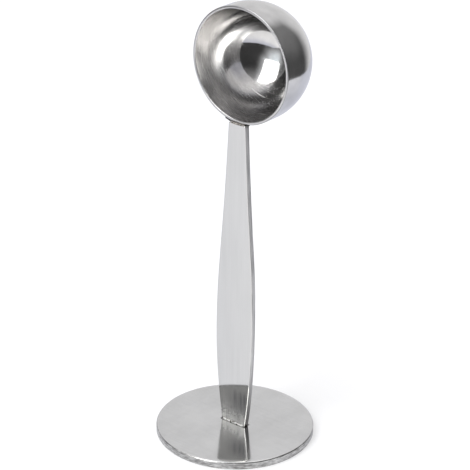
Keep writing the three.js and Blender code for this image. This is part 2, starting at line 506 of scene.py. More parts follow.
@dataclass(frozen=True)
class TurnedSteel(Steel):
    """Turned disc: a polished top with faint smudges, a dark ring round the weld that is heat tint and
    painted shade, and a worn, lined side painted darker as shade.

    weld_half is half the size of the welded patch along X and Y.
    """

    radius: float
    weld_half: Span
    side_inset: Span = (0.35 * MM, 0.05 * MM)
    side_roughness: float = 0.3
    smudges: Pattern = Pattern((8 * MM, 13 * MM, 9 * MM), 5.0, 3.0)
    grain: Pattern = Pattern(0.6 * MM, 3.0, 8.0)
    lines: Pattern = Pattern((5 * MM, 5 * MM, 0.25 * MM), 4.0, 1.0)
    brush: Pattern = Pattern((14 * MM, 0.3 * MM, 1 * MM), 3.0, 14.0)
    dents: Pattern = Pattern((1.5 * MM, 1.5 * MM, 0.8 * MM), 3.0, 12.0)
    dark_share: float = 0.84
    worn_cut: Span = (0.36, 0.66)
    # The side's colours: its lines are wear, its darkness is painted shade.
    worn_shaded_dark: Colour = (0.22, 0.215, 0.21)
    worn_shaded_light: Colour = (0.6, 0.6, 0.59)
    # A dark ring round the weld: heat tint, and painted shade where the bead meets the disc.
    burnt_and_shade_reach: Span = (0.9 * MM, 0.55 * MM)
    burnt_and_shade_colour: Colour = (0.06, 0.055, 0.05)
    relief: float = 0.002 * MM

    def look(self, board: Board) -> Look:
        """Smudges on the face, heat tint and painted shade at the weld, turning lines and small dents on
        the side, and painted shade over the side.

        Args:
            board: the material's board.

        Returns:
            The disc's pattern.
        """
        place = board.place()
        x, y, _ = board.parts(place)
        out = (x * x + y * y) ** 0.5
        beyond = [(axis.absolute() - half).most(0.0) for axis, half in zip((x, y), self.weld_half)]
        from_weld = (beyond[0] * beyond[0] + beyond[1] * beyond[1]) ** 0.5
        # Heat tint and painted shade in a ring round the weld.
        burnt = from_weld.step(*self.burnt_and_shade_reach)
        side = out.step(*(self.radius - inset for inset in self.side_inset))
        smudge = self.smudges.over(place)
        grain = self.grain.over(place)
        lines = self.lines.over(place)
        brush = self.brush.over(place)
        dents = self.dents.over(place)
        shade = (1.6 * smudge + 0.4 * grain + 0.8 * brush - 0.75).clamped()
        face = board.mix(shade, self.toned(self.dark_share), self.tint)
        scorched_and_shaded = board.mix(burnt * (0.5 + 0.5 * grain), face, self.burnt_and_shade_colour)
        # The side is darker than the face: painted shade, with worn lines and dents.
        worn = (0.6 * lines + 0.4 * dents).step(*self.worn_cut)
        turned = board.mix(worn, self.worn_shaded_dark, self.worn_shaded_light)
        rough = self.roughness * (0.35 + 0.9 * smudge + 0.6 * brush)
        return Look(
            board.mix(side, scorched_and_shaded, turned),
            rough + side * (self.side_roughness * (0.6 + 0.8 * lines) - rough),
            0.5 * grain + side * 3.0 * (lines + grain),
            self.relief,
        )


@dataclass(frozen=True)
class WeldSteel(Steel):
    """Cast-looking weld metal, with the colours that its heat left."""

    heat: Colour
    scorched_beyond: float
    scorch_fade: float = 0.2 * MM
    mottle: Pattern = Pattern(0.9 * MM, 3.0, 5.0)
    heat_cut: Span = (0.53, 0.63)
    skin: Pattern = Pattern(0.3 * MM, 3.0, 6.0)
    relief: float = 0.03 * MM

    def look(self, board: Board) -> Look:
        """Mottled heat colours, burnt dark at the ends of the runs, and a grainy skin.

        Args:
            board: the material's board.

        Returns:
            The weld's pattern.
        """
        place = board.place()
        x, _, _ = board.parts(place)
        aside = x.absolute() - self.scorched_beyond
        mottle = self.mottle.over(place)
        skin = self.skin.over(place)
        burnt = mottle.step(*self.heat_cut).most(aside.step(0.0, self.scorch_fade))
        return Look(
            board.mix(burnt, self.tint, self.heat),
            self.roughness * (0.7 + 0.6 * skin),
            skin,
            self.relief,
        )


def mesh_object(name: str, mesh: bpy.types.Mesh) -> bpy.types.Object:
    """Puts a mesh into the scene as an object at the origin.

    Args:
        name: the object's name.
        mesh: its mesh.

    Returns:
        The new object.
    """
    piece = bpy.data.objects.new(name, mesh)
    bpy.context.scene.collection.objects.link(piece)
    return piece


def path_object(name: str, points: Sequence[Vector]) -> bpy.types.Object:
    """Puts a chain of edges into the scene.

    Args:
        name: the object's name.
        points: the places that the chain goes through.

    Returns:
        The new object.
    """
    mesh = bpy.data.meshes.new(name)
    edges = [(i, i + 1) for i in range(len(points) - 1)]
    mesh.from_pydata([tuple(p) for p in points], edges, [])
    return mesh_object(name, mesh)


def settle(piece: bpy.types.Object, tree: bpy.types.NodeTree, inputs: Mapping[str, object]) -> None:
    """Runs a geometry tree on an object and keeps the result as its plain mesh.

    Args:
        piece: the object whose mesh goes into the tree.
        tree: the tree to run.
        inputs: the tree's inputs by name.
    """
    modifier = piece.modifiers.new(tree.name, "NODES")
    modifier.node_group = tree
    for item in tree.interface.items_tree:
        if item.in_out == "INPUT" and item.name in inputs:
            modifier[item.identifier] = inputs[item.name]
    bpy.context.view_layer.update()
    evaluated = piece.evaluated_get(bpy.context.evaluated_depsgraph_get())
    mesh = bpy.data.meshes.new_from_object(evaluated)
    source = piece.data
    piece.modifiers.clear()
    piece.data = mesh
    mesh.name = piece.name
    bpy.data.meshes.remove(source)


def new_tree(name: str, inputs: Mapping[str, str]) -> tuple[Board, bpy.types.Node]:
    """Starts a geometry tree.

    Args:
        name: the tree's name.
        inputs: the name of each input besides the geometry, and its kind of socket.

    Returns:
        The board to write on, and the node that holds the inputs.
    """
    tree = bpy.data.node_groups.new(name, "GeometryNodeTree")
    tree.interface.new_socket("Geometry", in_out="INPUT", socket_type="NodeSocketGeometry")
    for label, kind in inputs.items():
        tree.interface.new_socket(label, in_out="INPUT", socket_type=kind)
    tree.interface.new_socket("Geometry", in_out="OUTPUT", socket_type="NodeSocketGeometry")
    board = Board(tree)
    return board, board.add("NodeGroupInput")


def close_tree(board: Board, geometry: Term, finish: bpy.types.NodeSocket) -> bpy.types.NodeTree:
    """Ends a geometry tree in smooth shading, real geometry and its material.

    Args:
        board: the tree's board.
        geometry: what the tree made.
        finish: the input that holds the material.

    Returns:
        The finished tree.
    """
    smooth = board.term("GeometryNodeSetShadeSmooth", {}, {"Geometry": geometry})
    real = board.term("GeometryNodeRealizeInstances", {}, {"Geometry": smooth})
    dressed = board.term("GeometryNodeSetMaterial", {}, {"Geometry": real, "Material": finish})
    board.add("NodeGroupOutput", {}, {"Geometry": dressed})
    return board.tree


def lathe_tree() -> bpy.types.NodeTree:
    """A tree that turns a chain of profile points into a solid of revolution.

    Returns:
        The tree, with the inputs Segments, Axis, Centre, Merge and Finish.
    """
    board, given = new_tree("lathe", {
        "Segments": "NodeSocketInt",
        "Axis": "NodeSocketVector",
        "Centre": "NodeSocketVector",
        "Merge": "NodeSocketFloat",
        "Finish": "NodeSocketMaterial",
    })
    profile = given.outputs["Geometry"]
    segments = Term(board, given.outputs["Segments"])
    rows = board.term("GeometryNodeAttributeDomainSize", {"component": "MESH"}, {"Geometry": profile})
    sheet = board.add(
        "GeometryNodeMeshGrid", {},
        {"Size X": 1.0, "Size Y": 1.0, "Vertices X": segments + 1, "Vertices Y": rows},
    )
    across, along, _ = board.parts(board.term("GeometryNodeInputPosition"))
    row = ((along + 0.5) * (rows - 1)).rounded()
    point = board.term(
        "GeometryNodeSampleIndex", {"data_type": "FLOAT_VECTOR"},
        {"Geometry": profile, "Value": board.term("GeometryNodeInputPosition"), "Index": row},
    )
    turned = board.term(
        "ShaderNodeVectorRotate", {"rotation_type": "AXIS_ANGLE"},
        {"Vector": point, "Axis": given.outputs["Axis"], "Angle": (across + 0.5) * math.tau},
    )
    placed = board.term(
        "ShaderNodeVectorMath", {"operation": "ADD"}, {0: turned, 1: given.outputs["Centre"]})
    spun = board.term(
        "GeometryNodeSetPosition", {}, {"Geometry": sheet.outputs["Mesh"], "Position": placed})
    closed = board.term(
        "GeometryNodeMergeByDistance", {}, {"Geometry": spun, "Distance": given.outputs["Merge"]})
    outwards = board.term("GeometryNodeFlipFaces", {}, {"Mesh": closed})
    return close_tree(board, outwards, given.outputs["Finish"])


def weld_tree() -> bpy.types.NodeTree:
    """A tree that lays a rippled, lumpy bead with round ends along a chain of points.

    Returns:
        The tree, with the inputs Radius, Length, Step, Pitch, Ripple, Lump, Lump Size, Seed and Finish.
    """
    ring_points = 20
    tip_share = 0.02
    lump_detail = 2.0
    numbers = ("Radius", "Length", "Step", "Pitch", "Ripple", "Lump", "Lump Size", "Seed")
    board, given = new_tree(
        "weld bead", {**dict.fromkeys(numbers, "NodeSocketFloat"), "Finish": "NodeSocketMaterial"})
    value = {name: Term(board, socket) for name, socket in given.outputs.items() if name}
    path = board.term("GeometryNodeMeshToCurve", {}, {"Mesh": value["Geometry"]})
    line = board.term(
        "GeometryNodeResampleCurve", {"mode": "LENGTH"}, {"Curve": path, "Length": value["Step"]})
    run = board.term("GeometryNodeSplineParameter", output="Length")
    wave = (run / value["Pitch"] * math.tau).cosine()
    inset = (run.least(value["Length"] - run) / value["Radius"]).least(1.0).most(tip_share)
    end = (1.0 - (1.0 - inset) ** 2.0) ** 0.5
    scale = value["Radius"] * end * (1.0 - value["Ripple"] * wave)
    ring = board.term("GeometryNodeCurvePrimitiveCircle", {}, {"Resolution": ring_points, "Radius": 1.0})
    rod = board.term(
        "GeometryNodeCurveToMesh", {},
        {"Curve": line, "Profile Curve": ring, "Scale": scale, "Fill Caps": True},
    )
    spot = board.term(
        "ShaderNodeVectorMath", {"operation": "SCALE"},
        {0: board.term("GeometryNodeInputPosition"), "Scale": 1.0 / value["Lump Size"]},
    )
    grain = board.term(
        "ShaderNodeTexNoise", {"noise_dimensions": "4D"},
        {"Vector": spot, "W": value["Seed"], "Scale": 1.0, "Detail": lump_detail},
    )
    swell = board.term(
        "ShaderNodeVectorMath", {"operation": "SCALE"},
        {0: board.term("GeometryNodeInputNormal"), "Scale": (grain - 0.5) * value["Lump"]},
    )
    lumpy = board.term("GeometryNodeSetPosition", {}, {"Geometry": rod, "Offset": swell})
    return close_tree(board, lumpy, given.outputs["Finish"])


def arc(centre: tuple[float, float], radius: float, start: float, end: float, steps: int) -> Profile:
    """Points on an arc of a profile, its angles in degrees."""
    angles = [math.radians(start + (end - start) * i / steps) for i in range(steps + 1)]
    return [(centre[0] + radius * math.cos(a), centre[1] + radius * math.sin(a)) for a in angles]


def hand_over(piece: bpy.types.Object, node: str) -> None:
    """Ties a finished piece to the part.

    Args:
        piece: the piece, which rides on the part's one body.
        node: the node that it stands for.
    """
    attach(piece, BODY)
    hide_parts(node)
    LOG.info("%s: %d faces, stands for %s", piece.name, len(piece.data.polygons), node)


@dataclass
class Bowl:
    """The drawn bowl: a straight skirt behind the rim, then a dome."""

    radius: float
    rim_plane: float
    axis_height: float
    depth: float
    wall: float = 0.9 * MM
    skirt: float = 5.1 * MM
    outer_edge: float = 0.28 * MM
    inner_edge: float = 0.2 * MM
    segments: int = 288
    dome_steps: int = 90
    edge_steps: int = 8
    guard: float = 0.04 * MM

    def dome(self, radius: float, depth: float) -> Profile:
        """A quarter ellipse from the axis out to its full radius."""
        angles = [math.pi / 2 * i / self.dome_steps for i in range(self.dome_steps)]
        return [(radius * math.sin(a), self.skirt + depth * math.cos(a)) for a in angles]

    def profile(self) -> Profile:
        """The shell's outline.

        The straight skirt has a point close to each of its ends, so that its shading stays true.

        Returns:
            Points of radius and depth, from the outer pole over the rim to the inner pole.
        """
        inner = self.radius - self.wall
        outer_edge, inner_edge = self.outer_edge, self.inner_edge
        ends = (self.skirt, self.skirt - self.guard)
        outside = self.dome(self.radius, self.depth - self.skirt)
        inside = self.dome(inner, self.depth - self.skirt - self.wall)
        return [
            *outside,
            *((self.radius, y) for y in (*ends, outer_edge + self.guard)),
            *arc((self.radius - outer_edge, outer_edge), outer_edge, 0, -90, self.edge_steps),
            *arc((inner + inner_edge, inner_edge), inner_edge, -90, -180, self.edge_steps),
            *((inner, y) for y in (inner_edge + self.guard, *reversed(ends))),
            *reversed(inside),
        ]

    def build(self, tree: bpy.types.NodeTree, finish: bpy.types.Material) -> None:
        """Turns the profile about the bowl's axis and hands the piece over.

        Args:
            tree: the lathe tree.
            finish: the bowl's material.
        """
        piece = path_object("polished_bowl", [Vector((r, y, 0.0)) for r, y in self.profile()])
        settle(piece, tree, {
            "Segments": self.segments,
            "Axis": (0.0, 1.0, 0.0),
            "Centre": (0.0, self.rim_plane, self.axis_height),
            "Merge": MERGE,
            "Finish": finish,
        })
        hand_over(piece, "scoop_bowl")


@dataclass
class TamperDisc:
    """The turned disc that the scoop stands on."""

    radius: float
    thickness: float
    edge: float = 0.5 * MM
    roll: float = 1.4 * MM
    roll_drop: float = 0.16 * MM
    segments: int = 288
    edge_steps: int = 8
    roll_steps: int = 6
    guard: float = 0.05 * MM

    def profile(self) -> Profile:
        """The disc's outline.

        The top rolls over a little before the rounded edge, as it does on a stamped disc.

        Returns:
            Points of radius and height, from the middle of the top round to that of the underside.
        """
        flat = self.radius - self.edge
        top = self.thickness
        slope = math.atan(2 * self.roll_drop / self.roll)
        reach = flat + self.edge * math.sin(slope)
        brink = top - self.roll_drop
        rolled = [
            (reach - self.roll * (1 - t), top - self.roll_drop * t * t)
            for t in (i / self.roll_steps for i in range(self.roll_steps))
        ]
        centre = (flat, brink - self.edge * math.cos(slope))
        return [
            (0.0, top),
            (flat / 2, top),
            (reach - self.roll - self.guard, top),
            *rolled,
            *reversed(arc(centre, self.edge, 0, 90 - math.degrees(slope), self.edge_steps)),
            *reversed(arc((flat, self.edge), self.edge, -90, 0, self.edge_steps)),
            (flat - self.guard, 0.0),
            (flat / 2, 0.0),
            (0.0, 0.0),
        ]

    def build(self, tree: bpy.types.NodeTree, finish: bpy.types.Material) -> None:
        """Turns the profile about the upright axis and hands the piece over.

        Args:
            tree: the lathe tree.
            finish: the disc's material.
        """
        piece = path_object("turned_disc", [Vector((r, 0.0, z)) for r, z in self.profile()])
        settle(piece, tree, {
            "Segments": self.segments,
            "Axis": (0.0, 0.0, 1.0),
            "Centre": (0.0, 0.0, 0.0),
            "Merge": MERGE,
            "Finish": finish,
        })
        hand_over(piece, "tamper_disc")


@dataclass
class HandleStrip:
    """The flat strip between disc and bowl: widest low down, drawn in towards the bowl.

    Flare and taper are the slopes of its outline at the foot and at the neck. Each hold is the share
    of a curve's height over which the curve keeps close to its slope.
    """

    foot_height: float
    thickness: float
    belly_width: float
    axis_height: float
    hollow_radius: float
    base_width: float = 9.4 * MM
    neck_width: float = 6.6 * MM
    belly_height: float = 32 * MM
    neck_corner: float = 0.7 * MM
    bow: float = 0.25 * MM
    bow_length: float = 60 * MM
    edge: float = 0.3 * MM
    flare: float = 0.165
    taper: float = 0.049
    lower_hold: float = 0.3
    belly_hold: float = 0.38
    neck_hold: float = 0.62
    curve_rows: int = 70
    corner_rows: int = 8
    columns: int = 13
    edge_steps: int = 5
    guard: float = 0.06 * MM

    def hollow(self, x: float) -> float:
        """Height of the hollow end at a place across the strip."""
        return self.axis_height - math.sqrt(self.hollow_radius**2 - x**2)

    def bowed(self, height: float) -> float:
        """How far the strip stands forward at a height, where its weld has drawn it out of true."""
        run = min(max((height - self.foot_height) / self.bow_length, 0.0), 1.0)
        return -self.bow * (1 - math.cos(math.tau * run)) / 2

    def rows(self) -> list[tuple[float, float, float]]:
        """The rows of the strip from its foot to its hollow end.

        Returns:
            Each row's half width, its height at the sides, and how far it bends to the hollow.
        """
        base, belly, neck = self.base_width / 2, self.belly_width / 2, self.neck_width / 2
        foot, widest = self.foot_height, self.foot_height + self.belly_height
        shoulder = self.hollow(neck)
        corner = shoulder - self.neck_corner
        lower = self.belly_height * self.lower_hold
        upper = (corner - widest) * self.belly_hold
        last = (corner - widest) * self.neck_hold
        end = neck - self.neck_corner
        curves = [
            ((base, foot), (base + self.flare * lower, foot + lower),
             (belly, widest - lower), (belly, widest)),
            ((belly, widest), (belly, widest + upper),
             (neck + self.taper * last, corner - last), (neck, corner)),
        ]
        rows = []
        for curve in curves:
            for i in range(self.curve_rows):
                t = i / self.curve_rows
                weights = ((1 - t) ** 3, 3 * t * (1 - t) ** 2, 3 * t * t * (1 - t), t**3)
                half = sum(weight * point[0] for weight, point in zip(weights, curve))
                height = sum(weight * point[1] for weight, point in zip(weights, curve))
                rows.append((half, height, 0.0))
        for i in range(self.corner_rows + 1):
            t = i / self.corner_rows
            weights = ((1 - t) ** 2, 2 * t * (1 - t), t * t)
            half = (weights[0] + weights[1]) * neck + weights[2] * end
            height = weights[0] * corner + weights[1] * shoulder + weights[2] * self.hollow(end)
            rows.append((half, height, (height - corner) / (self.hollow(half) - corner)))
        return rows

    def section(self) -> list[tuple[float, float, float, float]]:
        """The strip's section, round from the left of its front face.

        Returns:
            Each point's share of the half width less the rounded edge, its x beyond that, its y, and
            how far it belongs to the cut edge.
        """
        half = self.thickness / 2
        flat = half - self.edge
        face = [2 * i / (self.columns - 1) - 1 for i in range(self.columns)]
        front = [(u, 0.0, -half, 0.0) for u in face]
        front.insert(1, (-1.0, self.guard, -half, 0.0))
        front.insert(-1, (1.0, -self.guard, -half, 0.0))
        angles = [math.pi / 2 * i / self.edge_steps for i in range(1, self.edge_steps + 1)]
        turn = [
            (1.0, self.edge * math.sin(a), -flat - self.edge * math.cos(a), math.sin(a)) for a in angles]
        right = [*turn, (1.0, self.edge, 0.0, 1.0), *[(u, x, -y, c) for u, x, y, c in reversed(turn)]]
        back = [(-u, -x, -y, c) for u, x, y, c in front]
        left = [(-u, -x, -y, c) for u, x, y, c in right]
        return [*front, *right, *back, *left]

    def build(self, finish: bpy.types.Material) -> None:
        """Lofts the section along the rows, closes both ends and hands the piece over.

        Args:
            finish: the strip's material.
        """
        section = self.section()
        shell = bmesh.new()
        mark = shell.verts.layers.float.new(EDGE_MARK)
        rings = []
        for half, height, bend in self.rows():
            ring = []
            for share, beyond, y, cut in section:
                x = share * (half - self.edge) + beyond
                inside = max(-half, min(half, x))
                z = height + bend * (self.hollow(inside) - self.hollow(half))
                vertex = shell.verts.new((x, y + self.bowed(z), z))
                vertex[mark] = cut
                ring.append(vertex)
            rings.append(ring)
        count = len(section)
        for low, high in zip(rings, rings[1:]):
            for i in range(count):
                j = (i + 1) % count
                shell.faces.new((low[i], low[j], high[j], high[i])).smooth = True
        self.cap(shell, rings[0], upwards=False)
        self.cap(shell, rings[-1], upwards=True)
        mesh = bpy.data.meshes.new("brushed_strip")
        shell.to_mesh(mesh)
        shell.free()
        mesh.materials.append(finish)
        hand_over(mesh_object("brushed_strip", mesh), "handle_strip")

    def cap(self, shell: bmesh.types.BMesh, ring: list[bmesh.types.BMVert], upwards: bool) -> None:
        """Closes one end with sharp edges, by joining front to back, column by column.

        Args:
            shell: the mesh under way.
            ring: the end's vertices, in the order of the section.
            upwards: true for the end that faces up.
        """
        face_count = self.columns + 2
        side_count = 2 * self.edge_steps + 1
        front = ring[:face_count]
        right = ring[face_count:face_count + side_count]
        back = ring[face_count + side_count:2 * face_count + side_count][::-1]
        left = ring[2 * face_count + side_count:]
        patches = [
            *((front[i], front[i + 1], back[i + 1], back[i]) for i in range(face_count - 1)),
            (front[-1], *right, back[-1]),
            (back[0], *left, front[0]),
        ]
        for patch in patches:
            shell.faces.new(patch if upwards else patch[::-1])
        for pair in zip(ring, [*ring[1:], ring[0]]):
            shell.edges.get(pair).smooth = False


@dataclass
class WeldRun:
    """One bead of weld metal along a path."""

    name: str
    node: str
    slot: str
    path: Sequence[Vector]
    radius: float
    seed: float
    ripple: float = 0.06
    pitch: float = 0.8 * MM
    lump: float = 0.22 * MM
    lump_size: float = 0.55 * MM
    step: float = 0.06 * MM

    def length(self) -> float:
        """Length along the path."""
        return sum((b - a).length for a, b in zip(self.path, self.path[1:]))

    def build(self, tree: bpy.types.NodeTree, finish: bpy.types.Material) -> None:
        """Lays the bead and hands the piece over.

        Args:
            tree: the weld tree.
            finish: the bead's material.
        """
        piece = path_object(self.name, self.path)
        settle(piece, tree, {
            "Radius": self.radius,
            "Length": self.length(),
            "Step": self.step,
            "Pitch": self.pitch,
            "Ripple": self.ripple,
            "Lump": self.lump,
            "Lump Size": self.lump_size,
            "Seed": self.seed,
            "Finish": finish,
        })
        hand_over(piece, self.node)


@dataclass
class Welds:
    """All the weld runs: at the bowl, and round the strip's foot.

    Each root is how far the middle of a bead lies off the steel under it.
    """

    strip: HandleStrip
    bowl: Bowl
    root: float = 0.1 * MM
    back_root: float = 0.2 * MM
    bowl_bead_radius: float = 0.42 * MM
    ledge_bead_radius: float = 0.3 * MM
    ledge_forward: float = 0.25 * MM
    ledge_insets: Span = (0.4 * MM, 0.3 * MM)
    bowl_tack_behind: float = 0.45 * MM
    bowl_tack_reach: float = 2.2 * MM
    bowl_tack_lap: float = 0.3 * MM
    base_bead_radius: float = 0.36 * MM
    base_root: float = 0.05 * MM
    left_tack_radius: float = 0.25 * MM
    right_tack_radius: float = 0.45 * MM
    tack_sink: float = 0.1 * MM
    tack_forward: float = 0.1 * MM
    tack_end: float = 0.4 * MM
    path_steps: int = 12

    def straight(self, start: Sequence[float], end: Sequence[float]) -> list[Vector]:
        """Points along a straight run."""
        a, b = Vector(start), Vector(end)
        return [a.lerp(b, i / self.path_steps) for i in range(self.path_steps + 1)]

    def round_bowl(self, radius: float, y: float, left: float, right: float) -> list[Vector]:
        """Points along an arc under the bowl.

        Args:
            radius: the arc's distance from the bowl's axis.
            y: its place along the axis.
            left: the x at which it starts.
            right: the x at which it ends.

        Returns:
            The points from left to right.
        """
        ends = [math.asin(x / radius) for x in (left, right)]
        angles = [ends[0] + (ends[1] - ends[0]) * i / self.path_steps for i in range(self.path_steps + 1)]
        height = self.bowl.axis_height
        return [Vector((radius * math.sin(a), y, height - radius * math.cos(a))) for a in angles]

    def bowl_runs(self) -> list[WeldRun]:
        """The runs that hold the bowl: on the strip's ledge, behind it, and the tack at its left.

        Returns:
            The runs with their paths.
        """
        neck = self.strip.neck_width / 2
        rim = self.bowl.rim_plane
        under = self.bowl.radius + self.root
        left_inset, right_inset = self.ledge_insets
        ledge = self.round_bowl(under, rim - self.ledge_forward, left_inset - neck, neck - right_inset)
        behind = self.round_bowl(
            self.bowl.radius + self.back_root, self.strip.thickness / 2, -neck, neck)
        tack = self.round_bowl(
            under, rim + self.bowl_tack_behind, -neck - self.bowl_tack_reach, self.bowl_tack_lap - neck)
        return [
            WeldRun(name, node, "tinted_weld", path, radius, seed)
            for name, node, path, radius, seed in (
                ("front_bowl_weld", "bowl_weld_front", ledge, self.ledge_bead_radius, 1.0),
                ("back_bowl_weld", "bowl_weld_back", behind, self.bowl_bead_radius, 2.0),
                ("left_bowl_tack", "bowl_tack_left", tack, self.bowl_bead_radius, 3.0),
            )
        ]

    def base_runs(self) -> list[WeldRun]:
        """The runs round the strip's foot: a bead along each face and a tack across each edge.

        Returns:
            The runs with their paths.
        """
        half = self.strip.thickness / 2
        side = self.strip.base_width / 2
        height = self.strip.foot_height + self.root
        end = side - self.base_bead_radius
        runs = []
        for name, sign, seed in (("front", -1, 4.0), ("back", 1, 5.0)):
            y = sign * (half + self.base_root)
            path = self.straight((-end, y, height), (end, y, height))
            runs.append(WeldRun(
                f"{name}_base_weld", f"base_weld_{name}", "weld_metal", path, self.base_bead_radius, seed))
        tacks = (("left", -1, self.left_tack_radius, 6.0), ("right", 1, self.right_tack_radius, 7.0))
        for name, sign, radius, seed in tacks:
            x = sign * (side - self.tack_sink)
            path = self.straight((x, -half - self.tack_forward, height), (x, self.tack_end, height))
            runs.append(WeldRun(
                f"{name}_base_tack", f"base_tack_{name}", "weld_metal", path, radius, seed))
        return runs

    def build(self, tree: bpy.types.NodeTree, finishes: Mapping[str, bpy.types.Material]) -> None:
        """Lays every run in the finish of its slot."""
        for run in (*self.bowl_runs(), *self.base_runs()):
            run.build(tree, finishes[run.slot])


class Side(Enum):
    """Directions from the scoop towards parts of the studio, as azimuths from -Y towards +X in degrees."""

    TABLE_FRONT = 49.0
    CAMERA = 39.45


@dataclass(frozen=True)
class Softbox:
    """The tall soft light to the left of the camera, as angles in degrees seen from the scoop."""

    level: float = 6.0
    left: float = -16.5
    right: float = 9.0
    low: float = 12.5
    high: float = 60.0
    left_lean: float = -0.37
    right_lean: float = 0.09
    blur: float = 2.5
    under_left: Span = (-30.0, -14.0)
    under_right: Span = (22.0, -12.0)
    under_rise: Span = (-22.0, 10.0)
    beside_level: float = 0.5
    beside_left: Span = (-34.0, -22.0)
    beside_right: Span = (24.0, -2.0)
    beside_rise: Span = (-4.0, 14.0)

    def cover(self, azimuth: Term, elevation: Term) -> Term:
        """How far a direction lies inside the light.

        Args:
            azimuth: degrees from -Y towards +X.
            elevation: degrees above the horizon.

        Returns:
            A value from 0 to 1.
        """
        left = (azimuth - self.left_lean * elevation - self.left).step(-self.blur, self.blur)
        right = (azimuth - self.right_lean * elevation - self.right).step(self.blur, -self.blur)
        low = elevation.step(self.low - self.blur, self.low + self.blur)
        high = elevation.step(self.high + 2 * self.blur, self.high - 2 * self.blur)
        return left * right * low * high

    def spill(self, azimuth: Term, elevation: Term) -> Term:
        """The light that it leaves on what stands under it and at its right.

        Args:
            azimuth: degrees from -Y towards +X.
            elevation: degrees above the horizon.

        Returns:
            A value from 0 to 1.
        """
        sides = azimuth.step(*self.under_left) * azimuth.step(*self.under_right)
        under = sides * elevation.step(*self.under_rise)
        near = (azimuth - self.right_lean * elevation - self.right).step(*self.beside_right)
        beside = near * near * azimuth.step(*self.beside_left) * elevation.step(*self.beside_rise)
        return under.most(self.beside_level * beside)


@dataclass(frozen=True)
class Wall:
    """A wall of the room, brighter towards its top, as angles in degrees seen from the scoop."""

    side: Span
    rise: Span
    foot_level: float
    gain: float

    def level(self, azimuth: Term, elevation: Term) -> Term:
        """The wall's brightness in a direction."""
        return azimuth.step(*self.side) * (self.foot_level + self.gain * elevation.step(*self.rise))


@dataclass(frozen=True)
class Room:
    """What stands round the table, as the metal mirrors it: backdrop, ceiling and darker walls."""

    backdrop: float = 0.86
    backdrop_right: float = 12.0
    backdrop_left: float = -104.0
    backdrop_blur: float = 18.0
    ceiling: float = 1.45
    ceiling_edge: Span = (52.0, 68.0)
    left_wall: Wall = Wall((-24.0, -46.0), (-5.0, 45.0), 0.1, 0.5)
    back_wall: Wall = Wall((100.0, 140.0), (-5.0, 30.0), 0.04, 0.15)
    dark: float = 0.05
    haze: float = 0.34
    haze_rise: Span = (24.0, 62.0)
    haze_side: Span = (140.0, 90.0)
    spill: float = 1.25

    def level(self, azimuth: Term, bearing: Term, elevation: Term, spill: Term) -> Term:
        """The brightness of the room in a direction.

        Args:
            azimuth: degrees from -Y towards +X.
            bearing: degrees from +Y towards +X.
            elevation: degrees above the horizon.
            spill: how much light the softbox leaves there.

        Returns:
            The level, where 1 is white.
        """
        blur = self.backdrop_blur
        right = bearing.step(self.backdrop_right + blur, self.backdrop_right - blur)
        left = bearing.step(self.backdrop_left - blur, self.backdrop_left + blur)
        haze = self.haze * elevation.step(*self.haze_rise) * azimuth.step(*self.haze_side)
        sides = self.left_wall.level(azimuth, elevation).most(self.back_wall.level(azimuth, elevation))
        walls = self.dark + haze + sides
        ceiling = elevation.step(*self.ceiling_edge)
        return (walls + self.spill * spill).most(right * left * self.backdrop).most(ceiling * self.ceiling)


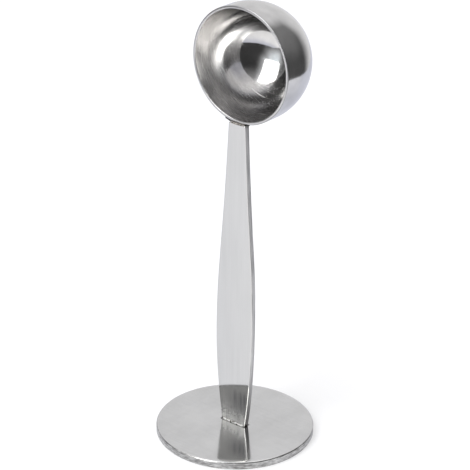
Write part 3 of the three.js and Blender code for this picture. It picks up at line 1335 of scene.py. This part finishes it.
@dataclass
class Studio:
    """Table, light, backdrop and camera.

    The metal shows the studio, so it has what a small product studio has: a white table, a tall
    softbox to the left of the camera, a white backdrop and ceiling, and a dark room to the right.
    Towards the front the table and backdrop turn pale grey, so that bright metal stands out.
    """

    softbox: Softbox = Softbox()
    room: Room = Room()
    wall_light: Colour = (0.995, 0.995, 1.01)
    spill_light: Colour = (0.88, 0.95, 1.0)
    softbox_light: Colour = (1.0, 0.995, 0.98)
    table_front: float = 0.335
    table_right: float = 0.328
    table_left: float = 0.45
    table_far: float = 1.5
    table_colour: Colour = (0.45, 0.45, 0.46)
    # The table's glow to mirrors: painted light towards the front, painted shade behind.
    table_glow: Colour = (0.72, 0.715, 0.71)
    shaded_glow: Colour = (0.22, 0.235, 0.31)
    light_pool_start: Span = (-0.08, 0.09)
    light_pool_end: Span = (0.3, 0.13)
    white_glow: float = 0.56
    front_glow: float = 0.285
    front_level: float = 0.8
    table_fade: Span = (0.06, 0.3)
    front_fade: Span = (-0.2, 0.6)
    focal_length: float = 148.03
    sensor_width: float = 36.0
    clip_start: float = 0.01
    camera_distance: float = 0.5904
    camera_elevation: float = 24.69
    camera_roll: float = 0.73
    camera_target: Place = (-1.62 * MM, 0.82 * MM, 67.27 * MM)
    bounces: int = 16

    @staticmethod
    def direction(azimuth: float, elevation: float) -> Vector:
        """A unit vector; azimuth 0 is -Y and 90 is +X, in degrees."""
        a, e = math.radians(azimuth), math.radians(elevation)
        return Vector((math.sin(a) * math.cos(e), -math.cos(a) * math.cos(e), math.sin(e)))

    def table(self) -> None:
        """A white table top that keeps the scoop's soft shadow; to mirrors it glows with painted light
        towards the front and painted shade behind.
        """
        front = self.direction(Side.TABLE_FRONT.value, 0.0)
        right = self.direction(Side.TABLE_FRONT.value + 90.0, 0.0)
        corners = [
            front * along + right * across
            for along, across in (
                (self.table_front, -self.table_left), (self.table_front, self.table_right),
                (-self.table_far, self.table_right), (-self.table_far, -self.table_left),
            )
        ]
        mesh = bpy.data.meshes.new("table")
        mesh.from_pydata([tuple(corner) for corner in corners], [], [(0, 1, 2, 3)])
        material = bpy.data.materials.new("white table")
        material.use_nodes = True
        board = Board(material.node_tree)
        path = board.add("ShaderNodeLightPath").outputs
        camera, glossy, through = (
            Term(board, path[f"Is {kind} Ray"]) for kind in ("Camera", "Glossy", "Transmission"))
        x, y, _ = board.parts(board.place())
        along = x * front.x + y * front.y
        away = (x * x + y * y) ** 0.5
        # Painted light and shade: to mirrors the table glows brighter towards the front and falls to a
        # shaded glow behind.
        painted_light_pool = along.step(*self.light_pool_start) * along.step(*self.light_pool_end)
        top = board.mix(painted_light_pool, self.shaded_glow, self.table_glow)
        mirrored = board.mix(glossy.most(through), BLACK, top)
        fade = away.step(*self.table_fade) * (along / away).step(*self.front_fade)
        white = board.mix(fade, (self.white_glow,) * 3, (self.front_glow,) * 3)
        glow = board.mix(camera, mirrored, white)
        surface = board.tree.nodes["Principled BSDF"].inputs
        surface["Base Color"].default_value = (*self.table_colour, 1.0)
        surface["Roughness"].default_value = 1.0
        surface["Specular IOR Level"].default_value = 0.0
        surface["Emission Strength"].default_value = 1.0
        board.tree.links.new(glow.socket, surface["Emission Color"])
        mesh.materials.append(material)
        mesh_object("table", mesh)

    def world(self) -> None:
        """White to the camera, pale on the front side; to every other ray the softbox and the room."""
        world = bpy.data.worlds.new("studio")
        bpy.context.scene.world = world
        world.use_nodes = True
        board = Board(world.node_tree)
        board.tree.nodes.clear()
        x, y, z = board.parts(board.term("ShaderNodeTexCoord", output="Generated"))
        degrees = math.degrees(1.0)
        azimuth = x.angle(0.0 - y) * degrees
        bearing = x.angle(y) * degrees
        elevation = z.math("ARCSINE", z) * degrees
        spill = self.softbox.spill(azimuth, elevation)
        lit = self.softbox.cover(azimuth, elevation)
        seen = self.room.level(azimuth, bearing, elevation, spill).most(lit * self.softbox.level)
        camera = Term(board, board.add("ShaderNodeLightPath").outputs["Is Camera Ray"])
        front = self.direction(Side.TABLE_FRONT.value, 0.0)
        ahead = x * front.x + y * front.y
        white = 1.0 - (1.0 - self.front_level) * ahead.step(*self.front_fade)
        walls = board.mix(spill, self.wall_light, self.spill_light)
        lights = board.mix(lit, walls, self.softbox_light)
        background = board.term("ShaderNodeBackground", {}, {
            "Color": board.mix(camera, lights, WHITE),
            "Strength": camera * white + (1.0 - camera) * seen,
        })
        board.add("ShaderNodeOutputWorld", {}, {"Surface": background})

    def camera(self) -> None:
        """The camera at the photograph's viewing angle."""
        lens = bpy.data.cameras.new("camera")
        lens.sensor_width = self.sensor_width
        lens.lens = self.focal_length
        lens.clip_start = self.clip_start
        back = self.direction(Side.CAMERA.value, self.camera_elevation)
        level = math.radians(Side.CAMERA.value)
        right = Vector((math.cos(level), math.sin(level), 0.0))
        up = back.cross(right)
        tilt = math.radians(self.camera_roll)
        across = right * math.cos(tilt) + up * math.sin(tilt)
        above = up * math.cos(tilt) - right * math.sin(tilt)
        turn = Matrix((across, above, back)).transposed()
        camera = bpy.data.objects.new("camera", lens)
        camera.matrix_world = Matrix.LocRotScale(
            Vector(self.camera_target) + back * self.camera_distance, turn.to_quaternion(), None)
        bpy.context.scene.collection.objects.link(camera)
        bpy.context.scene.camera = camera

    def build(self) -> None:
        """Sets up the whole studio."""
        scene = bpy.context.scene
        scene.view_settings.view_transform = "Standard"
        scene.cycles.max_bounces = self.bounces
        scene.cycles.glossy_bounces = self.bounces
        self.table()
        self.world()
        self.camera()


def make_finishes(bowl: Bowl, disc: TamperDisc, strip: HandleStrip) -> dict[str, bpy.types.Material]:
    """Makes the finish of each slot, fitted to the pieces.

    Args:
        bowl: the bowl, whose axis, rim and shape place the rings and the wear.
        disc: the disc, whose radius places its side.
        strip: the strip, whose foot places the painted shade and whose ends place the burnt metal and the
            painted shade round the weld.

    Returns:
        The material of each slot.
    """
    burnt_and_shade_inset = 0.45 * MM
    base_burn = 0.2 * MM
    neck_burn = 0.9 * MM
    finishes = {
        "polished_steel": SpunSteel(
            "polished steel", (0.66, 0.652, 0.645), 0.12,
            axis_height=bowl.axis_height, rim_plane=bowl.rim_plane,
            radius=bowl.radius, skirt=bowl.skirt, dome=bowl.depth - bowl.skirt,
        ),
        "brushed_steel": BrushedSteel(
            "brushed steel", (0.681, 0.679, 0.66), 0.07, foot_height=strip.foot_height),
        "satin_steel": TurnedSteel(
            "turned steel", (0.67, 0.667, 0.663), 0.1, radius=disc.radius,
            weld_half=(strip.base_width / 2 - burnt_and_shade_inset, strip.thickness / 2),
        ),
        "weld_metal": WeldSteel(
            "weld metal", (0.52, 0.52, 0.51), 0.3, heat=(0.06, 0.054, 0.05),
            scorched_beyond=strip.base_width / 2 - base_burn,
        ),
        "tinted_weld": WeldSteel(
            "heat tinted weld", (0.3, 0.28, 0.26), 0.5, heat=(0.015, 0.013, 0.012),
            scorched_beyond=strip.neck_width / 2 - neck_burn,
        ),
    }
    return {slot: finish.make() for slot, finish in finishes.items()}


def main() -> None:
    """Builds the studio and every piece of the scoop, in order."""
    logging.basicConfig(level=logging.INFO, format="%(name)s %(message)s")
    Studio().build()
    disc_low, disc_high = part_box("tamper_disc")
    strip_low, strip_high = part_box("handle_strip")
    bowl_low, bowl_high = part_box("scoop_bowl")
    root_gap = 0.15 * MM
    bowl = Bowl(
        radius=(bowl_high.z - bowl_low.z) / 2,
        rim_plane=bowl_low.y,
        axis_height=(bowl_high.z + bowl_low.z) / 2,
        depth=bowl_high.y - bowl_low.y,
    )
    disc = TamperDisc(radius=(disc_high.x - disc_low.x) / 2, thickness=disc_high.z - disc_low.z)
    strip = HandleStrip(
        foot_height=disc.thickness,
        thickness=strip_high.y - strip_low.y,
        belly_width=strip_high.x - strip_low.x,
        axis_height=bowl.axis_height,
        hollow_radius=bowl.radius + root_gap,
    )
    finishes = make_finishes(bowl, disc, strip)
    lathe = lathe_tree()
    disc.build(lathe, finishes["satin_steel"])
    strip.build(finishes["brushed_steel"])
    bowl.build(lathe, finishes["polished_steel"])
    Welds(strip, bowl).build(weld_tree(), finishes)


if __name__ == "__main__":
    main()
